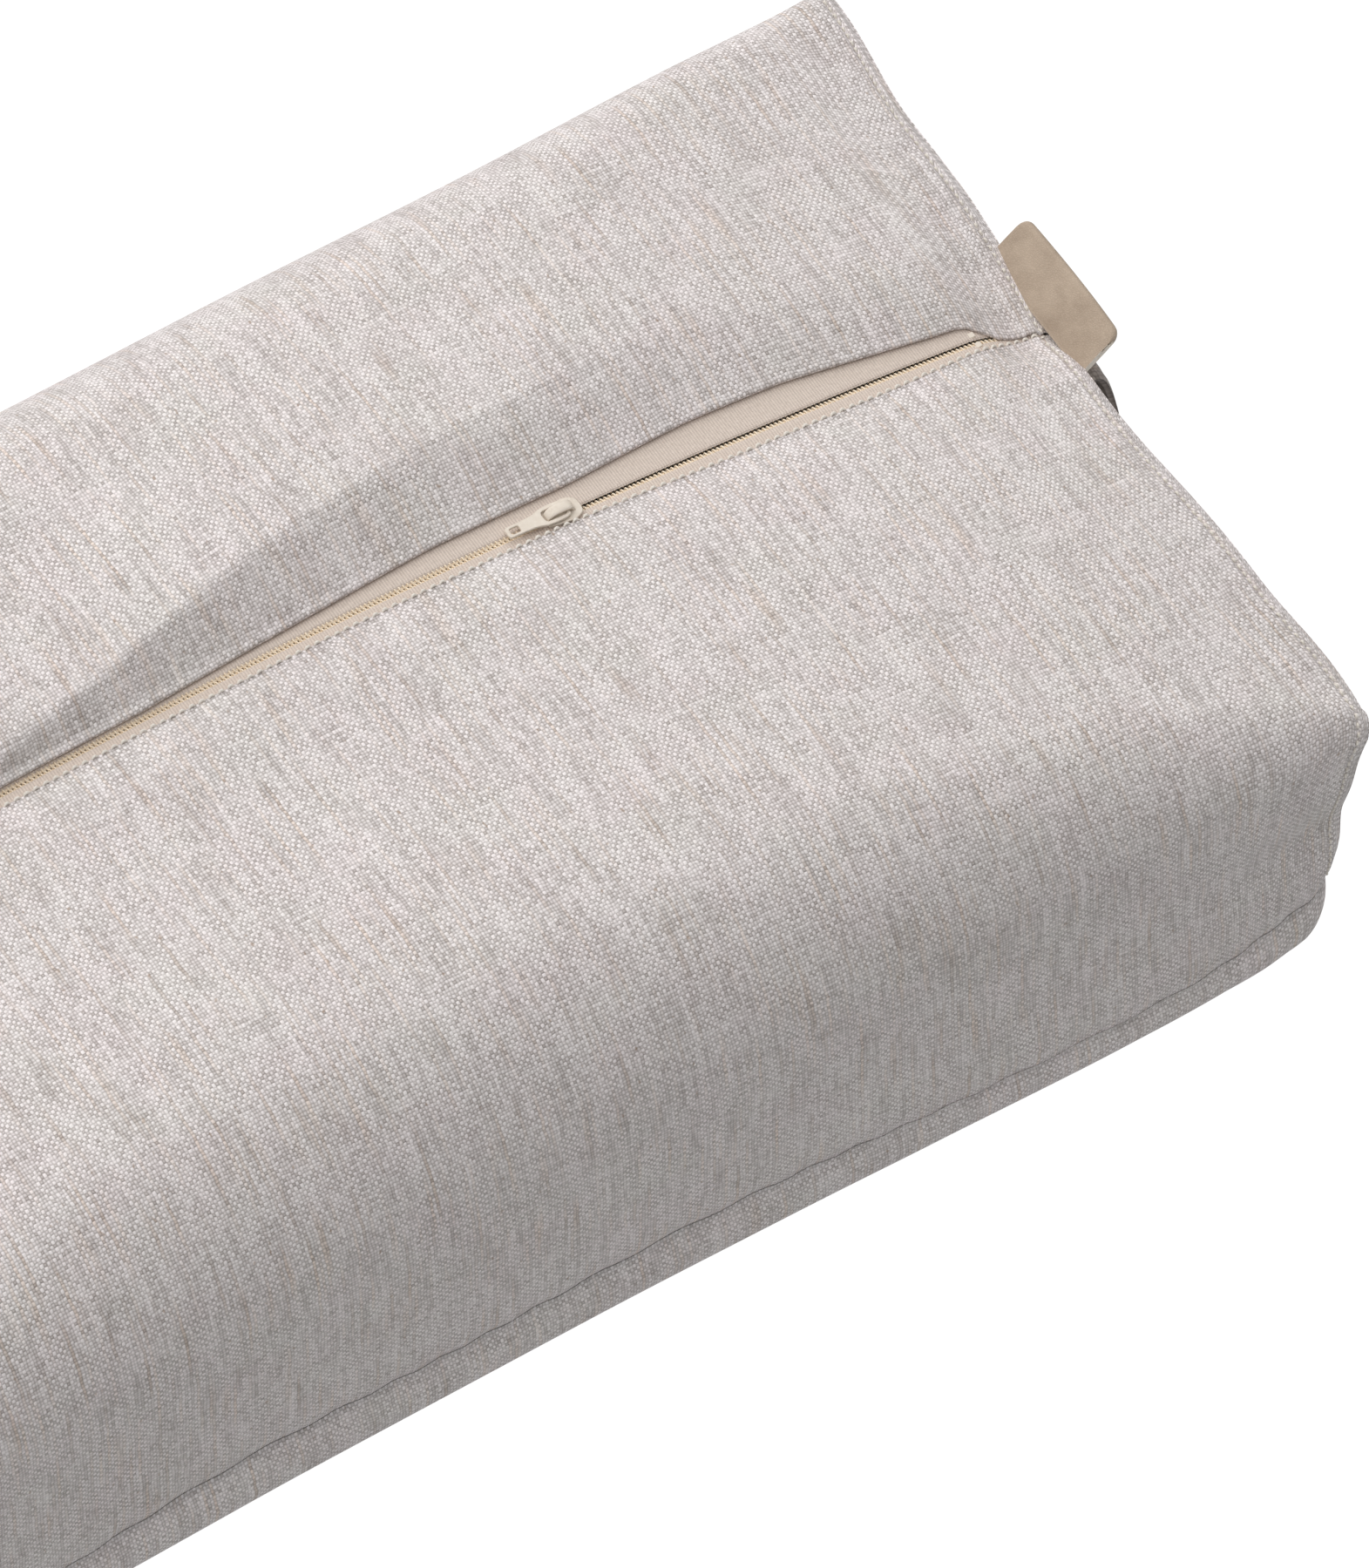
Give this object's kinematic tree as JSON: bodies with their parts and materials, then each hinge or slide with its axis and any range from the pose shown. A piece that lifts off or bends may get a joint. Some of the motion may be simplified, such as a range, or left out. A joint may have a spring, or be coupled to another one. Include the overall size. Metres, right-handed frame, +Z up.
{
  "type": "bolster pillow",
  "caption": "Rectangular stuffed bolster pillow in a linen cover with a coil zipper along the top, a folded leather tab and a carry handle on one end.",
  "frame": {"origin": "centre of the flat base, on the surface the pillow lies on", "axes": "+X along the length to the end with the leather tab and the carry handle, +Y across to the rear long side, +Z up through the zipper face"},
  "size_m": [0.6478, 0.3058, 0.1582],
  "materials": {
    "linen": "plain-weave slubby natural linen, matt",
    "zipper_tape": "fine ribbed woven polyester tape, beige",
    "zipper_coil": "satin nylon coil, cream",
    "enamel": "ivory enamel over cast zinc, satin",
    "leather": "smooth taupe leather with pale cut edges",
    "thread": "ivory polyester sewing thread",
    "liner_cotton": "unbleached cotton calico",
    "wadding": "lofty white fibre wadding",
    "foam": "open-cell upholstery foam",
    "label": "blank white satin label"
  },
  "bodies": {
    "pillow": {"cover_front_panel": "linen", "cover_rear_panel": "linen", "cover_base_panel": "linen", "cover_end_panel_right": "linen", "cover_end_panel_left": "linen", "zipper_tape_rear": "zipper_tape", "zipper_tape_front": "zipper_tape", "zipper_coil_rear": "zipper_coil", "zipper_coil_front": "zipper_coil", "zipper_top_stop_rear": "enamel", "zipper_top_stop_front": "enamel", "zipper_bottom_stop": "enamel", "carry_handle": "linen", "stitch_zipper_front": "thread", "stitch_end_right_front": "thread", "stitch_end_right_rear": "thread", "stitch_end_left_front": "thread", "stitch_end_left_rear": "thread", "liner_case": "liner_cotton", "wadding_wrap": "wadding", "foam_core": "foam", "care_label": "label"},
    "slider": {"zipper_slider_body": "enamel"},
    "pull": {"zipper_pull_tab": "enamel"},
    "tab": {"leather_tab": "leather"}
  },
  "joints": [
    {"name": "zipper_slide", "type": "hinge", "parent": "pillow", "child": "slider", "pos_m": [0, 0.018, -1.32819], "axis": [0, 1, 0], "range_deg": [-16.38, 5.3]},
    {"name": "pull_tab_swing", "type": "hinge", "parent": "slider", "child": "pull", "pos_m": [0.14396, 0.018, 0.14318], "axis": [0, 1, 0], "range_deg": [0, 165]},
    {"name": "leather_tab_flex", "type": "hinge", "parent": "pillow", "child": "tab", "pos_m": [0.3166, 0.02, 0.116], "axis": [0, -1, 0], "range_deg": [-35, 35], "stiffness_Nm_per_rad": 0.05}
  ]
}
